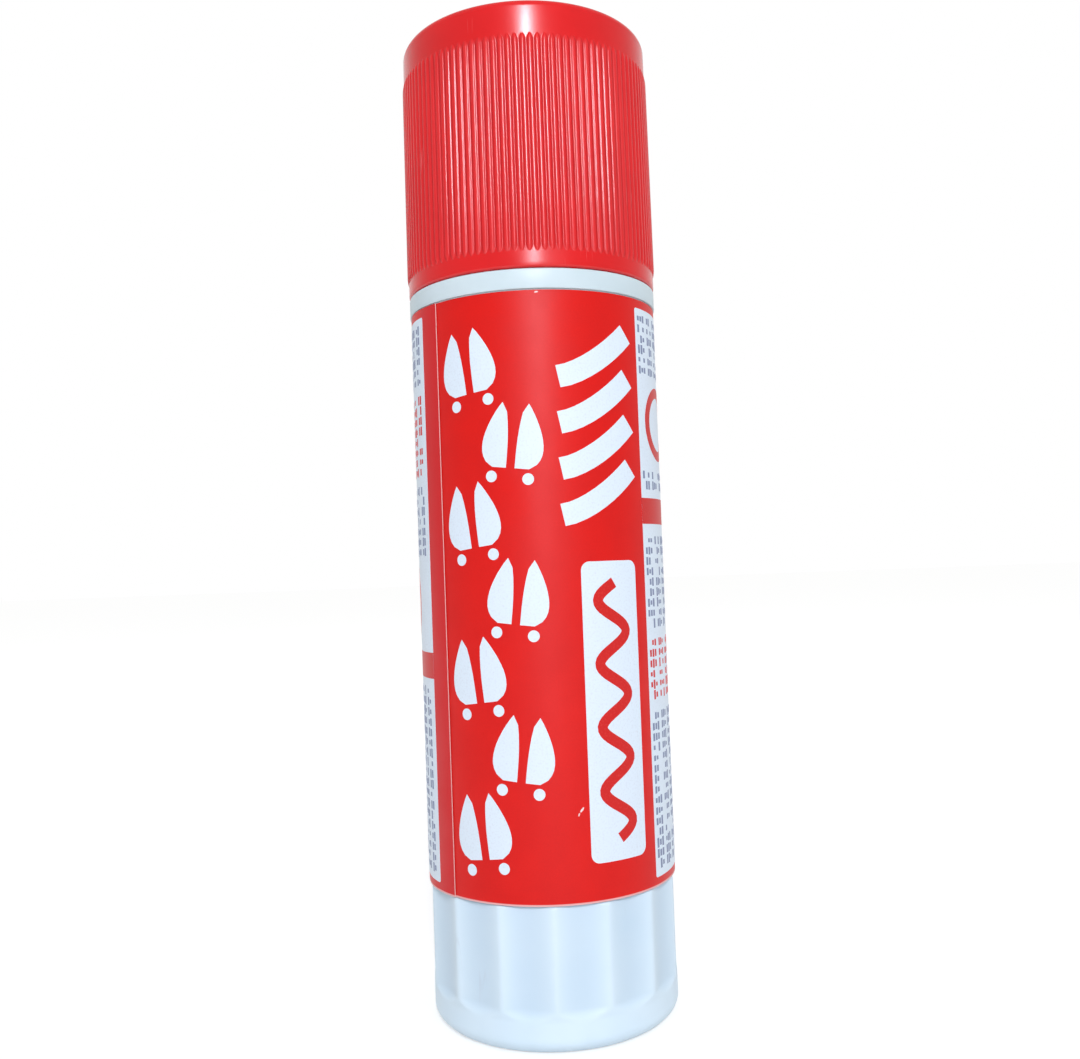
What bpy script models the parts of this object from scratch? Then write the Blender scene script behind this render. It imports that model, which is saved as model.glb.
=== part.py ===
"""Twist-up marking crayon: a capped tube whose knob turns a lead screw and raises a wax stick.

Metres, +Z up, standing on the knob, with the middle of its base at the origin. The label's front faces -Y.
"""

import math

import bmesh
import bpy
from mathutils import Matrix

MM = 0.001

# Clearances
SEAT_GAP = 0.30 * MM        # between pieces that rest on each other
SLIDE_GAP = 0.30 * MM       # between the bore and what slides in it
THREAD_GAP = 0.30 * MM      # round the screw's thread inside the nut
PRESS_GAP = 0.10 * MM       # round the screw's foot in the knob's socket
FILM_GAP = 0.06 * MM        # under the label
BEAD_GAP = 0.15 * MM        # between the cap's bead and the neck's
KEY_GAP = 0.30 * MM         # beside and outside each key
TIP_GAP = 0.35 * MM         # between the stick and the cap's ceiling
WAX_BORE_GAP = 0.40 * MM    # between the stick and the thread

# Small edges, and how far helpers run into or past what they join or cut
EDGE = 0.30 * MM
BEAD_SLOPE = 0.50 * MM
JOIN = 0.50 * MM
CUT_MARGIN = 1.0 * MM

# Barrel
BARREL_RADIUS = 15.0 * MM
LABEL_RECESS = 0.30 * MM
LABEL_LENGTH = 67.2 * MM
LABEL_MARGIN = 0.15 * MM    # bare recess at each end of the label
BAND_HEIGHT = 2.3 * MM      # white shoulder above the label
NECK_WALL = 1.0 * MM
NECK_BEAD = 0.15 * MM
NECK_BEAD_HEIGHT = 6.0 * MM
COUNTERBORE_WALL = 1.2 * MM
KEYWAY_COUNT = 4
KEYWAY_WIDTH = 2.4 * MM
KEYWAY_DEPTH = 0.9 * MM
KEYWAY_END = 2.0 * MM       # solid wall left between the keyways and the shoulder

# Label, with angles in degrees round from the front
LABEL_THICKNESS = 0.12 * MM
LABEL_SEAM = -47.3
LABEL_OVERLAP = 13.0
LABEL_CLIMB = 24.0          # where the end rises to lie on the start
CLIMB_STEP = 3.0

# Cap
CAP_HEIGHT = 30.45 * MM
CAP_OVERHANG = 0.05 * MM    # how far the rim stands out past the barrel
CAP_DRAFT = 0.20 * MM       # radius lost from rim to top
CAP_WALL = 1.25 * MM
CAP_TOP = 1.6 * MM
CAP_ROUND = 2.15 * MM
CAP_INNER_ROUND = 1.0 * MM
CAP_BEAD = 0.08 * MM
CAP_BEAD_HEIGHT = 3.0 * MM
RIB_COUNT = 112
RIB_WIDTH = 0.42 * MM
RIB_CREST = 0.19 * MM
RIB_HEIGHT = 0.16 * MM
RIB_SINK = 0.15 * MM        # how far each rib is rooted in the wall
RIB_SLOPE = 0.40 * MM       # sloped end of each rib
RIB_START = 2.0 * MM        # plain band above the rim
RIB_END = 4.7 * MM          # plain band below the top

# Twist knob
KNOB_HEIGHT = 15.9 * MM
KNOB_STEP = 0.30 * MM       # how far the knob stands inside the barrel's outside
KNOB_ROUND = 1.5 * MM
KNOB_FLOOR = 1.8 * MM
FOOT_RING = 2.7 * MM        # flat ring that the crayon stands on
FOOT_DEPTH = 0.5 * MM       # hollow inside that ring
FLUTE_COUNT = 15
FLUTE_HOLLOW = 0.48 * MM    # depth of a flute below a flat facet
FLUTE_LAND = 0.5 * MM       # ridge left between two flutes
FLUTE_START = 3.9 * MM
FLUTE_RUNOUT = 0.9 * MM
FLUTE_STEPS = 64
COLLAR_LENGTH = 6.0 * MM
COLLAR_WALL = 1.3 * MM
SNAP_BEAD = 0.50 * MM
SNAP_HEIGHT = 2.9 * MM      # middle of the bead above the knob's shoulder
SNAP_WIDTH = 1.2 * MM
BOSS_HEIGHT = 12.0 * MM
BOSS_WALL = 1.7 * MM
SOCKET_FLOOR = 2.2 * MM     # boss left solid under the socket
WEB_COUNT = 6
WEB_THICKNESS = 1.2 * MM
WEB_HEIGHT = 8.0 * MM

# Lead screw
SCREW_ROOT = 2.5 * MM
THREAD_DEPTH = 1.1 * MM
THREAD_LEAD = 5.5 * MM
THREAD_BASE = 2.4 * MM
THREAD_CREST = 1.2 * MM
THREAD_SINK = 0.5 * MM      # how far the ridge is rooted in the core
FOOT_SIZE = 3.2 * MM        # corner radius of the six-sided foot
FLANGE_THICKNESS = 1.5 * MM
SCREW_TIP = 1.0 * MM
NUT_GRIP = 4.0 * MM         # thread still in the nut at full rise

# Carrier
KEY_HEIGHT = 5.7 * MM
KEY_STOP = 1.1 * MM         # keyway left over at full rise
CARRIER_WALL = 1.0 * MM
CARRIER_FLOOR = 2.0 * MM
CUP_DEPTH = 8.0 * MM
NUT_WALL = 2.1 * MM

# Wax stick
STICK_REACH = 12.8 * MM     # how far it stands out of the neck under the cap
TIP_ROUND = 3.0 * MM
BORE_END = 1.0 * MM         # bore past the screw's tip

SHELL_STEPS = 60
INNER_STEPS = 40
THREAD_STEPS = 16
KEY_ANGLE = math.pi / 4

# Heights that follow
BARREL_BASE = KNOB_HEIGHT + SEAT_GAP
LABEL_BASE = BARREL_BASE + LABEL_MARGIN
RECESS_TOP = LABEL_BASE + LABEL_LENGTH + LABEL_MARGIN
SHOULDER = RECESS_TOP + BAND_HEIGHT
CAP_BASE = SHOULDER + SEAT_GAP
CAP_END = CAP_BASE + CAP_HEIGHT
CEILING = CAP_END - CAP_TOP
WAX_TIP = CEILING - TIP_GAP
NECK_TOP = WAX_TIP - STICK_REACH
SNAP_MIDDLE = KNOB_HEIGHT + SNAP_HEIGHT
COLLAR_TOP = KNOB_HEIGHT + COLLAR_LENGTH
CARRIER_BASE = COLLAR_TOP + SEAT_GAP
KEY_TOP = CARRIER_BASE + KEY_HEIGHT
KEYWAY_TOP = SHOULDER - KEYWAY_END
RISE = KEYWAY_TOP - KEY_STOP - KEY_TOP
CUP_FLOOR = KEY_TOP + CARRIER_FLOOR
CUP_RIM = CUP_FLOOR + CUP_DEPTH
SOCKET_BASE = KNOB_FLOOR + SOCKET_FLOOR
FLANGE_BASE = BOSS_HEIGHT + SEAT_GAP
FLANGE_TOP = FLANGE_BASE + FLANGE_THICKNESS
THREAD_START = CARRIER_BASE + THREAD_BASE / 2
THREAD_END = CARRIER_BASE + RISE + NUT_GRIP - THREAD_BASE / 2
SCREW_TOP = THREAD_END + THREAD_BASE + SCREW_TIP
WAX_BASE = CUP_FLOOR + SEAT_GAP
WAX_STEP = CUP_RIM + SEAT_GAP
WAX_BORE_TOP = SCREW_TOP + BORE_END

# Radii that follow
CAP_SLOPE = CAP_DRAFT / CAP_HEIGHT
CAP_RADIUS = BARREL_RADIUS + CAP_OVERHANG
CAP_BORE = CAP_RADIUS - CAP_WALL
NECK_RADIUS = CAP_BORE - CAP_SLOPE * (NECK_TOP - CAP_BASE) - CAP_BEAD - BEAD_GAP - NECK_BEAD
BORE = NECK_RADIUS - NECK_WALL
KEYWAY_RADIUS = BORE + KEYWAY_DEPTH
RECESS_RADIUS = BARREL_RADIUS - LABEL_RECESS
COUNTERBORE = RECESS_RADIUS - COUNTERBORE_WALL
COLLAR_RADIUS = COUNTERBORE - SEAT_GAP
COLLAR_BORE = COLLAR_RADIUS - COLLAR_WALL
SNAP_RADIUS = COLLAR_RADIUS + SNAP_BEAD
KNOB_RADIUS = BARREL_RADIUS - KNOB_STEP
FOOT_RADIUS = KNOB_RADIUS - KNOB_ROUND - FOOT_RING
BOSS_RADIUS = FOOT_SIZE + PRESS_GAP + BOSS_WALL
CARRIER_RADIUS = BORE - SLIDE_GAP
CUP_BORE = CARRIER_RADIUS - CARRIER_WALL
WAX_RADIUS = BORE - SLIDE_GAP
WAX_ROOT = CUP_BORE - SEAT_GAP
SCREW_CREST = SCREW_ROOT + THREAD_DEPTH
NUT_RADIUS = SCREW_CREST + THREAD_GAP + NUT_WALL
WAX_BORE = SCREW_CREST + WAX_BORE_GAP


def make_collection(name):
    made = bpy.data.collections.new(name)
    bpy.context.scene.collection.children.link(made)
    return made


def make_material(name, colour, roughness):
    made = bpy.data.materials.new(name)
    made.use_nodes = True
    shader = made.node_tree.nodes["Principled BSDF"]
    shader.inputs["Base Color"].default_value = (*colour, 1.0)
    shader.inputs["Roughness"].default_value = roughness
    made.diffuse_color = (*colour, 1.0)
    return made


def place(name, data, collection):
    made = bpy.data.objects.new(name, data)
    collection.objects.link(made)
    made.parent = axis
    if collection is cutters:
        made.hide_render = True
        made.display_type = "WIRE"
    return made


def arc(radius, height, size, start, end, steps):
    """Points of a quarter or less of a circle in a turned profile, by angles from +X in degrees."""
    points = []
    for step in range(steps + 1):
        angle = math.radians(start + (end - start) * step / steps)
        points.append((radius + size * math.cos(angle), height + size * math.sin(angle)))
    return points


def turned(name, profile, steps, collection, closed=False):
    """A profile of (radius, height), run down its outer side, turned about the axis."""
    mesh = bpy.data.meshes.new(name)
    links = [(i, i + 1) for i in range(len(profile) - 1)]
    if closed:
        links.append((len(profile) - 1, 0))
    mesh.from_pydata([(radius, 0.0, height) for radius, height in profile], links, [])
    made = place(name, mesh, collection)
    screw = made.modifiers.new("turn", "SCREW")
    screw.axis = "Z"
    screw.angle = math.tau
    screw.steps = steps
    screw.render_steps = steps
    screw.use_merge_vertices = True
    screw.merge_threshold = 0.00001
    return made


def solid_mesh(made):
    """The object's mesh with its modifiers applied."""
    graph = bpy.context.evaluated_depsgraph_get()
    graph.update()
    return bpy.data.meshes.new_from_object(made.evaluated_get(graph), depsgraph=graph)


def ringed(name, shape, count, start=0.0):
    """Copies of a closed mesh spread round the axis, as one helper."""
    whole = bmesh.new()
    for number in range(count):
        before = len(whole.verts)
        whole.from_mesh(shape)
        whole.verts.ensure_lookup_table()
        turn = Matrix.Rotation(start + math.tau * number / count, 3, "Z")
        bmesh.ops.rotate(whole, verts=whole.verts[before:], cent=(0, 0, 0), matrix=turn)
    mesh = bpy.data.meshes.new(name)
    whole.to_mesh(mesh)
    whole.free()
    return place(name, mesh, cutters)


def block(inner, outer, width, low, high):
    """A box that reaches out along +X from one radius to another."""
    made = bmesh.new()
    bmesh.ops.create_cube(made, size=1.0)
    bmesh.ops.scale(made, verts=made.verts, vec=(outer - inner, width, high - low))
    bmesh.ops.translate(made, verts=made.verts, vec=((inner + outer) / 2, 0, (low + high) / 2))
    mesh = bpy.data.meshes.new("block")
    made.to_mesh(mesh)
    made.free()
    return mesh


def prism(name, sides, radius, low, high):
    made = bmesh.new()
    ends = {"radius1": radius, "radius2": radius, "depth": high - low}
    bmesh.ops.create_cone(made, cap_ends=True, segments=sides, **ends)
    bmesh.ops.translate(made, verts=made.verts, vec=(0, 0, (low + high) / 2))
    mesh = bpy.data.meshes.new(name)
    made.to_mesh(mesh)
    made.free()
    return place(name, mesh, cutters)


def combine(made, other, operation, crossing=False):
    modifier = made.modifiers.new(other.name, "BOOLEAN")
    modifier.operation = operation
    modifier.solver = "EXACT"
    modifier.use_self = crossing
    modifier.object = other


def helix(name, grow, low, high):
    """The thread's ridge, left-handed, as a closed sweep that starts inside the screw's core."""
    half_base = THREAD_BASE / 2 + grow
    half_crest = THREAD_CREST / 2 + grow
    inside = SCREW_ROOT - THREAD_SINK
    outside = SCREW_CREST + grow
    half_inside = half_base + (half_base - half_crest) * THREAD_SINK / THREAD_DEPTH
    profile = [(outside, half_crest), (outside, -half_crest), (inside, -half_inside), (inside, half_inside)]
    steps = math.floor((high - low) / THREAD_LEAD * THREAD_STEPS)
    sweep = turned(name + "_sweep", profile, steps, cutters, closed=True)
    sweep.modifiers["turn"].angle = -math.tau * steps / THREAD_STEPS
    sweep.modifiers["turn"].screw_offset = THREAD_LEAD * steps / THREAD_STEPS
    sweep.modifiers["turn"].use_merge_vertices = False
    ridge = bmesh.new()
    ridge.from_mesh(solid_mesh(sweep))
    bpy.data.objects.remove(sweep)
    ends = [edge for edge in ridge.edges if edge.is_boundary]
    bmesh.ops.holes_fill(ridge, edges=ends, sides=4)
    off_edges = Matrix.Rotation(math.pi / THREAD_STEPS, 3, "Z")
    bmesh.ops.rotate(ridge, verts=ridge.verts, cent=(0, 0, 0), matrix=off_edges)
    bmesh.ops.translate(ridge, verts=ridge.verts, vec=(0, 0, low))
    bmesh.ops.recalc_face_normals(ridge, faces=ridge.faces)
    mesh = bpy.data.meshes.new(name)
    ridge.to_mesh(mesh)
    ridge.free()
    return place(name, mesh, cutters)


def finished(made, material):
    """The piece as one plain mesh, round sides smooth and corners sharp."""
    mesh = solid_mesh(made)
    mesh.name = made.name
    made.modifiers.clear()
    made.data = mesh
    mesh.materials.clear()
    mesh.materials.append(material)
    mesh.shade_smooth()
    mesh.set_sharp_from_angle(angle=math.radians(32))
    return made


def build_barrel():
    bead = SHOULDER + NECK_BEAD_HEIGHT
    snap_half = SNAP_WIDTH / 2 + SEAT_GAP
    profile = [
        (NECK_RADIUS - EDGE, NECK_TOP),
        (NECK_RADIUS, NECK_TOP - EDGE),
        (NECK_RADIUS, bead + BEAD_SLOPE),
        (NECK_RADIUS + NECK_BEAD, bead),
        (NECK_RADIUS, bead - BEAD_SLOPE),
        (NECK_RADIUS, SHOULDER),
        (BARREL_RADIUS - EDGE, SHOULDER),
        (BARREL_RADIUS, SHOULDER - EDGE),
        (BARREL_RADIUS, RECESS_TOP),
        (RECESS_RADIUS, RECESS_TOP),
        (RECESS_RADIUS, BARREL_BASE),
        (COUNTERBORE, BARREL_BASE),
        (COUNTERBORE, SNAP_MIDDLE - snap_half - SNAP_BEAD),
        (COUNTERBORE + SNAP_BEAD, SNAP_MIDDLE - snap_half),
        (COUNTERBORE + SNAP_BEAD, SNAP_MIDDLE + snap_half),
        (COUNTERBORE, SNAP_MIDDLE + snap_half + SNAP_BEAD),
        (COUNTERBORE, CARRIER_BASE),
        (BORE, CARRIER_BASE),
        (BORE, NECK_TOP - EDGE),
        (BORE + EDGE, NECK_TOP),
    ]
    barrel = turned("barrel", profile, SHELL_STEPS, parts, closed=True)
    keyway = block(BORE - CUT_MARGIN, KEYWAY_RADIUS, KEYWAY_WIDTH, CARRIER_BASE - CUT_MARGIN, KEYWAY_TOP)
    combine(barrel, ringed("barrel_keyways", keyway, KEYWAY_COUNT, KEY_ANGLE), "DIFFERENCE")
    return finished(barrel, white_plastic)


def label_outline():
    """The film's section seen from above: once round, then up over its own start to the seam."""
    facet = 360 / SHELL_STEPS
    first = LABEL_SEAM - LABEL_OVERLAP
    climb = first + 360 - LABEL_CLIMB
    last = LABEL_SEAM + 360
    round_steps = range(math.floor(first / facet) + 1, math.ceil(climb / facet))
    climb_steps = range(math.ceil((last - climb) / CLIMB_STEP))
    angles = [first] + [facet * step for step in round_steps]
    angles += [climb + CLIMB_STEP * step for step in climb_steps] + [last]
    inside, outside = [], []
    for angle in angles:
        share = min(1.0, max(0.0, (angle - climb) / (LABEL_CLIMB - CLIMB_STEP)))
        radius = RECESS_RADIUS + FILM_GAP + (LABEL_THICKNESS + FILM_GAP) * share * share * (3 - 2 * share)
        turn = math.radians(angle)
        for side, out in ((inside, radius), (outside, radius + LABEL_THICKNESS)):
            side.append((out * math.sin(turn), -out * math.cos(turn)))
    return inside + outside[::-1]


def build_label():
    shape = bpy.data.curves.new("label", "CURVE")
    shape.dimensions = "2D"
    shape.fill_mode = "BOTH"
    shape.extrude = LABEL_LENGTH / 2
    outline = label_outline()
    spline = shape.splines.new("POLY")
    spline.points.add(len(outline) - 1)
    for point, (x, y) in zip(spline.points, outline):
        point.co = (x, y, 0, 1)
    spline.use_cyclic_u = True
    drawn = place("label_outline", shape, cutters)
    label = place("label", solid_mesh(drawn), parts)
    bpy.data.objects.remove(drawn)
    label.location.z = LABEL_BASE + LABEL_LENGTH / 2
    label.modifiers.new("weld", "WELD").merge_threshold = 0.000005
    return finished(label, red_film)


def build_cap():
    def outside(height):
        return CAP_RADIUS - CAP_SLOPE * (height - CAP_BASE)

    def inside(height):
        return outside(height) - CAP_WALL

    bead = CAP_BASE + CAP_BEAD_HEIGHT
    round_base = CAP_END - CAP_ROUND
    profile = [(0.0, CAP_END)]
    profile += arc(outside(round_base) - CAP_ROUND, round_base, CAP_ROUND, 90, 0, 5)
    profile += [
        (outside(CAP_BASE + EDGE), CAP_BASE + EDGE),
        (CAP_RADIUS - EDGE, CAP_BASE),
        (CAP_BORE + EDGE, CAP_BASE),
        (inside(CAP_BASE + EDGE), CAP_BASE + EDGE),
        (inside(bead - BEAD_SLOPE), bead - BEAD_SLOPE),
        (inside(bead) - CAP_BEAD, bead),
        (inside(bead + BEAD_SLOPE), bead + BEAD_SLOPE),
        (inside(CEILING - CAP_INNER_ROUND), CEILING - CAP_INNER_ROUND),
        (inside(CEILING) - CAP_INNER_ROUND, CEILING),
        (0.0, CEILING),
    ]
    cap = turned("cap", profile, SHELL_STEPS, parts)
    low = CAP_BASE + RIB_START
    high = CAP_END - RIB_END
    rib = block(-RIB_SINK, RIB_HEIGHT, RIB_WIDTH, low, high)
    for vertex in rib.vertices:
        if vertex.co.x > 0:
            vertex.co.y *= RIB_CREST / RIB_WIDTH
            vertex.co.z += math.copysign(RIB_SLOPE, (low + high) / 2 - vertex.co.z)
        vertex.co.x += outside(vertex.co.z)
    combine(cap, ringed("cap_ribs", rib, RIB_COUNT), "UNION")
    return finished(cap, red_plastic)


def flute_cutter():
    """A round bar beside the knob whose foot tapers, so that each flute runs out above the base."""
    half_width = KNOB_RADIUS * math.sin(math.pi / FLUTE_COUNT) - FLUTE_LAND / 2
    flat = math.sqrt(KNOB_RADIUS ** 2 - half_width ** 2)
    depth = KNOB_RADIUS - flat + FLUTE_HOLLOW
    radius = (half_width ** 2 + FLUTE_HOLLOW ** 2) / (2 * FLUTE_HOLLOW)
    bar = turned("flute_bar", [
        (0.0, KNOB_HEIGHT + CUT_MARGIN),
        (radius, KNOB_HEIGHT + CUT_MARGIN),
        (radius, FLUTE_START + FLUTE_RUNOUT),
        (radius - depth, FLUTE_START),
        (0.0, FLUTE_START),
    ], FLUTE_STEPS, cutters)
    shape = solid_mesh(bar)
    bpy.data.objects.remove(bar)
    shape.transform(Matrix.Translation((flat - FLUTE_HOLLOW + radius, 0, 0)))
    return shape


def build_knob():
    snap_half = SNAP_WIDTH / 2
    profile = [
        (0.0, BOSS_HEIGHT),
        (BOSS_RADIUS, BOSS_HEIGHT),
        (BOSS_RADIUS, KNOB_FLOOR),
        (COLLAR_BORE, KNOB_FLOOR),
        (COLLAR_BORE, COLLAR_TOP),
        (COLLAR_RADIUS - EDGE, COLLAR_TOP),
        (COLLAR_RADIUS, COLLAR_TOP - EDGE),
        (COLLAR_RADIUS, SNAP_MIDDLE + snap_half + SNAP_BEAD),
        (SNAP_RADIUS, SNAP_MIDDLE + snap_half),
        (SNAP_RADIUS, SNAP_MIDDLE - snap_half),
        (COLLAR_RADIUS, SNAP_MIDDLE - snap_half - SNAP_BEAD),
        (COLLAR_RADIUS, KNOB_HEIGHT),
        (KNOB_RADIUS - EDGE, KNOB_HEIGHT),
        (KNOB_RADIUS, KNOB_HEIGHT - EDGE),
    ]
    profile += arc(KNOB_RADIUS - KNOB_ROUND, KNOB_ROUND, KNOB_ROUND, 0, -90, 4)
    profile += [
        (FOOT_RADIUS, 0.0),
        (FOOT_RADIUS - FOOT_DEPTH, FOOT_DEPTH),
        (0.0, FOOT_DEPTH),
    ]
    knob = turned("twist_knob", profile, SHELL_STEPS, parts)
    ridge_forward = -math.pi / 2 + math.pi / FLUTE_COUNT
    flutes = ringed("knob_flutes", flute_cutter(), FLUTE_COUNT, ridge_forward)
    combine(knob, flutes, "DIFFERENCE", crossing=True)
    web = block(BOSS_RADIUS - JOIN, COLLAR_BORE + JOIN, WEB_THICKNESS, KNOB_FLOOR - JOIN, WEB_HEIGHT)
    combine(knob, ringed("knob_webs", web, WEB_COUNT), "UNION")
    socket = prism("knob_socket", 6, FOOT_SIZE + PRESS_GAP, SOCKET_BASE, BOSS_HEIGHT + CUT_MARGIN)
    combine(knob, socket, "DIFFERENCE")
    return finished(knob, white_plastic)


def build_screw():
    profile = [
        (0.0, SCREW_TOP),
        (SCREW_ROOT - SCREW_TIP, SCREW_TOP),
        (SCREW_ROOT, SCREW_TOP - SCREW_TIP),
        (SCREW_ROOT, FLANGE_TOP),
        (BOSS_RADIUS, FLANGE_TOP),
        (BOSS_RADIUS, FLANGE_BASE),
        (0.0, FLANGE_BASE),
    ]
    screw = turned("lead_screw", profile, THREAD_STEPS, parts)
    foot = prism("screw_foot", 6, FOOT_SIZE, SOCKET_BASE + SEAT_GAP, FLANGE_BASE + JOIN)
    combine(screw, foot, "UNION")
    combine(screw, helix("screw_thread", 0.0, THREAD_START, THREAD_END), "UNION")
    return finished(screw, white_plastic)


def build_carrier():
    profile = [
        (0.0, CUP_FLOOR),
        (CUP_BORE, CUP_FLOOR),
        (CUP_BORE, CUP_RIM),
        (CARRIER_RADIUS - EDGE, CUP_RIM),
        (CARRIER_RADIUS, CUP_RIM - EDGE),
        (CARRIER_RADIUS, CARRIER_BASE),
        (CUP_BORE, CARRIER_BASE),
        (CUP_BORE, KEY_TOP),
        (NUT_RADIUS, KEY_TOP),
        (NUT_RADIUS, CARRIER_BASE),
        (0.0, CARRIER_BASE),
    ]
    carrier = turned("carrier", profile, INNER_STEPS, parts)
    key_width = KEYWAY_WIDTH - 2 * KEY_GAP
    key = block(CARRIER_RADIUS - JOIN, KEYWAY_RADIUS - KEY_GAP, key_width, CARRIER_BASE, KEY_TOP)
    combine(carrier, ringed("carrier_keys", key, KEYWAY_COUNT, KEY_ANGLE), "UNION")
    low, high = CARRIER_BASE - CUT_MARGIN, CUP_FLOOR + CUT_MARGIN
    hole = prism("nut_hole", THREAD_STEPS, SCREW_ROOT + THREAD_GAP, low, high)
    combine(carrier, hole, "DIFFERENCE")
    groove = helix("nut_thread", THREAD_GAP, THREAD_START - THREAD_LEAD, CUP_FLOOR + THREAD_LEAD)
    combine(carrier, groove, "DIFFERENCE")
    return finished(carrier, natural_plastic)


def build_wax():
    profile = [(0.0, WAX_TIP)]
    profile += arc(WAX_RADIUS - TIP_ROUND, WAX_TIP - TIP_ROUND, TIP_ROUND, 90, 0, 5)
    profile += [
        (WAX_RADIUS, WAX_STEP),
        (WAX_ROOT, WAX_STEP),
        (WAX_ROOT, WAX_BASE),
        (WAX_BORE, WAX_BASE),
        (WAX_BORE, WAX_BORE_TOP - BORE_END),
        (WAX_BORE - BORE_END, WAX_BORE_TOP),
        (0.0, WAX_BORE_TOP),
    ]
    return finished(turned("wax_stick", profile, INNER_STEPS, parts), red_wax)


for old in list(bpy.data.objects):
    bpy.data.objects.remove(old)
parts = make_collection("marking_crayon")
cutters = make_collection("cutters")
axis = bpy.data.objects.new("crayon_axis", None)
parts.objects.link(axis)

red_plastic = make_material("red_polypropylene", (0.68, 0.028, 0.030), 0.35)
red_film = make_material("red_label_film", (0.73, 0.030, 0.022), 0.40)
white_plastic = make_material("white_polypropylene", (0.72, 0.80, 0.88), 0.40)
natural_plastic = make_material("natural_polypropylene", (0.62, 0.66, 0.70), 0.45)
red_wax = make_material("red_wax", (0.60, 0.020, 0.020), 0.55)

build_barrel()
build_label()
build_cap()
build_knob()
build_screw()
build_carrier()
build_wax()
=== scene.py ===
import math
from functools import partial
from types import SimpleNamespace as Settings

import bmesh
import bpy
from mathutils import Matrix, Vector


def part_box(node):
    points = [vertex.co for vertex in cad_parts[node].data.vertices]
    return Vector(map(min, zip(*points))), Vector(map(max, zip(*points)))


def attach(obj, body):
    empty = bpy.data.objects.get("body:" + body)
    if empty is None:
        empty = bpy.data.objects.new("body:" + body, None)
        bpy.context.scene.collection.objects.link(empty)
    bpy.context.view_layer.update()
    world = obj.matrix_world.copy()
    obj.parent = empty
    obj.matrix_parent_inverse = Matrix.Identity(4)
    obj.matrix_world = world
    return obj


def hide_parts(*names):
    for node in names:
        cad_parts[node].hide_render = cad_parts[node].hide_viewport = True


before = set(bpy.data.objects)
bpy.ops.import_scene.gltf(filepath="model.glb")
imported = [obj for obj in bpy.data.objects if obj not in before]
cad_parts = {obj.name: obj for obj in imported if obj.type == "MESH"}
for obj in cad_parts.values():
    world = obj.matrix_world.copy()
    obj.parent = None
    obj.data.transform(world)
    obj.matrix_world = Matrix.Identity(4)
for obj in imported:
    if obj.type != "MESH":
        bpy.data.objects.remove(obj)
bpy.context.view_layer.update()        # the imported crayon, in metres, standing on z = 0 with its front to -Y
scene = bpy.context.scene
mm = 0.001
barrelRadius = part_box("barrel")[1].x
neckLength = 16 * mm
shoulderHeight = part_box("barrel")[1].z - neckLength  # where the cap's rim rests
turnedSharp, sheetSharp = 34, 40  # degrees past which an edge stays sharp: turned walls, sheets and thread
eased = {"interpolation_type": "SMOOTHSTEP"}  # for a range with soft ends
print("frame loaded:", sorted(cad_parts))


# Shared helpers

def linear(hexText):  # sRGB hex to linear RGBA
    shares = [int(hexText[i:i + 2], 16) / 255 for i in (1, 3, 5)]
    return [s / 12.92 if s <= 0.04045 else ((s + 0.055) / 1.055) ** 2.4 for s in shares] + [1.0]


def setInputs(tree, node, inputs):  # values, nodes or outputs, by name or in the order of the sockets in use
    for key, value in inputs.items() if isinstance(inputs, dict) else enumerate(inputs):
        used = [socket for socket in node.inputs if socket.enabled]
        socket = used[key] if isinstance(key, int) else next(s for s in used if s.name == key)
        if isinstance(value, bpy.types.Node):
            value = next(output for output in value.outputs if output.enabled)
        if isinstance(value, bpy.types.NodeSocket):
            tree.links.new(value, socket)
        else:
            socket.default_value = value
    return node


def addNode(tree, kind, inputs=(), operation=None, **settings):
    # a kind in capitals is a Math node's operation, and any other short one a shader node
    if kind.isupper():
        kind, operation = "Math", kind
    node = tree.nodes.new(kind if "Node" in kind else "ShaderNode" + kind)
    if operation:
        node.operation = operation
    for name, value in settings.items():
        setattr(node, name, value)
    return setInputs(tree, node, inputs)


def newMaterial(name):
    material = bpy.data.materials.new(name)
    material.use_nodes = True
    return material, partial(addNode, material.node_tree)


def coat(material, inputs):  # patterns and even values on the material's shader
    setInputs(material.node_tree, material.node_tree.nodes["Principled BSDF"], inputs)
    return material


def noise(add, place, size, detail):  # soft lumps of about that size
    return add("TexNoise", {"Vector": place, "Scale": 1 / size, "Detail": detail})


def newTree(name, sizes):  # a geometry tree with a named input for each size, its node adder and its inputs
    tree = bpy.data.node_groups.new(name, "GeometryNodeTree")
    kinds = {label: "Int" if isinstance(size, int) else "Float" for label, size in sizes.items()}
    for label, kind in {"Geometry": "Geometry", **kinds, "Material": "Material"}.items():
        tree.interface.new_socket(label, in_out="INPUT", socket_type="NodeSocket" + kind)
    tree.interface.new_socket("Geometry", in_out="OUTPUT", socket_type="NodeSocketGeometry")
    return tree, partial(addNode, tree), tree.nodes.new("NodeGroupInput").outputs


def endTree(add, given, shape):
    whole = add("GeometryNodeRealizeInstances", {"Geometry": shape})
    painted = add("GeometryNodeSetMaterial", {"Geometry": whole, "Material": given["Material"]})
    add("NodeGroupOutput", {"Geometry": painted})


def newObject(name, data):
    thing = bpy.data.objects.new(name, data)
    scene.collection.objects.link(thing)
    return thing


def madeMesh(piece):  # what the piece's curve or modifiers make
    graph = bpy.context.evaluated_depsgraph_get()
    return bpy.data.meshes.new_from_object(piece.evaluated_get(graph), depsgraph=graph)


def plainMesh(piece):  # works the modifiers into the piece's mesh
    mesh = madeMesh(piece)
    mesh.name = piece.name
    piece.modifiers.clear()
    piece.data = mesh
    return piece


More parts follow.
